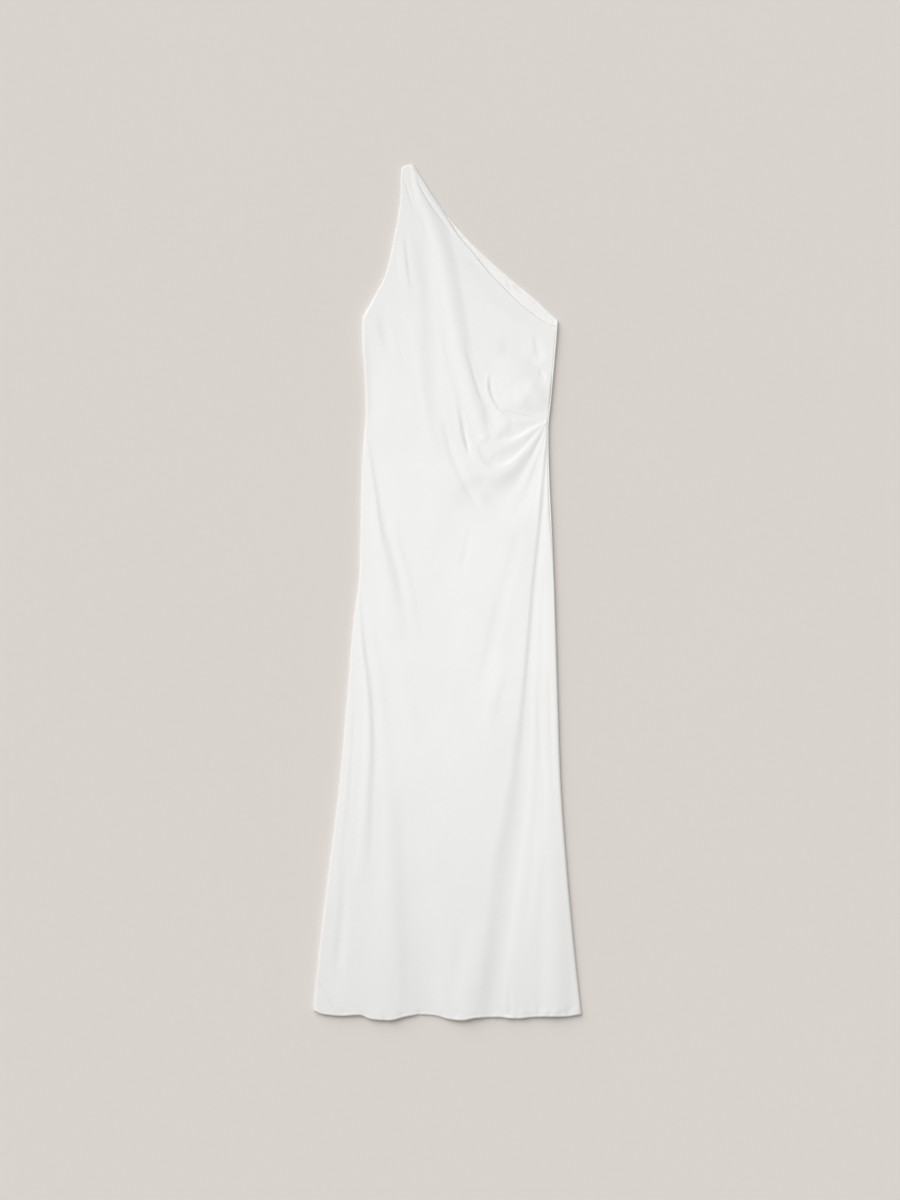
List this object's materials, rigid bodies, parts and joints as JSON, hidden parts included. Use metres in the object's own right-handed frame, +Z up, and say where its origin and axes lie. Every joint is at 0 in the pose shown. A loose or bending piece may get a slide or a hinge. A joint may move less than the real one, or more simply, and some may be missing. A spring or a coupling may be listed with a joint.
{
  "type": "one-shoulder silk satin dress, laid out flat",
  "caption": "Floor-length one-shoulder silk satin dress, laid flat: bias-cut front draped from the shoulder into a tuck at the waist's side seam, plain back, piecing seam at the hem corner.",
  "frame": {"origin": "middle of the laid-out outline's box, on the surface that the dress lies on", "axes": "+Y from the hem to the shoulder, along the dress's length; +Z up out of the surface, through the thickness; +X to the wearer's left side"},
  "size_m": [0.481, 1.54, 0.0145],
  "materials": {
    "satin": "white silk satin, the face with a soft low lustre",
    "satin_inside": "white silk satin, the duller reverse side"
  },
  "bodies": {
    "root": {"front_panel": "satin", "front_hem_corner": "satin", "back_panel": "satin_inside", "back_neck_facing": "satin_inside"}
  },
  "joints": []
}
